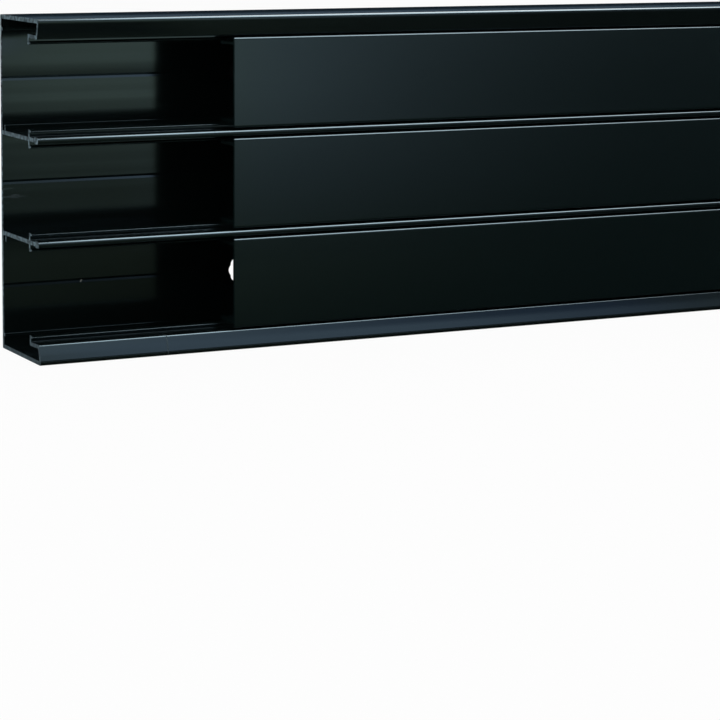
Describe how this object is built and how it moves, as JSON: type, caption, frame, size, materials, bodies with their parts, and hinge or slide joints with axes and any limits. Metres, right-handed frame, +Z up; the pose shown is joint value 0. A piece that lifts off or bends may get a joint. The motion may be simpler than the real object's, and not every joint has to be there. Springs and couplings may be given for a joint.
{
  "type": "cable trunking",
  "caption": "Black plastic wall trunking with stacked cable compartments and clip-on covers that slide along it, drawn back from the sawn end.",
  "frame": {"origin": "on the floor plane, under the middle of the run and of the depth", "axes": "+X along the run, away from the open end; +Y towards the wall; +Z up"},
  "size_m": [2, 0.055, 0.165],
  "materials": {
    "base_plastic": "satin",
    "cover_plastic": "satin"
  },
  "bodies": {
    "base": {"trunking_base": "base_plastic"},
    "top_cover": {"cover_top": "cover_plastic"},
    "middle_cover": {"cover_middle": "cover_plastic"},
    "bottom_cover": {"cover_bottom": "cover_plastic"}
  },
  "joints": [
    {"name": "top_cover_slide", "type": "slide", "parent": "base", "child": "top_cover", "axis": [1, 0, 0], "range_m": [-0.1015, 0]},
    {"name": "middle_cover_slide", "type": "slide", "parent": "base", "child": "middle_cover", "axis": [1, 0, 0], "range_m": [-0.1015, 0]},
    {"name": "bottom_cover_slide", "type": "slide", "parent": "base", "child": "bottom_cover", "axis": [1, 0, 0], "range_m": [-0.1015, 0]}
  ]
}
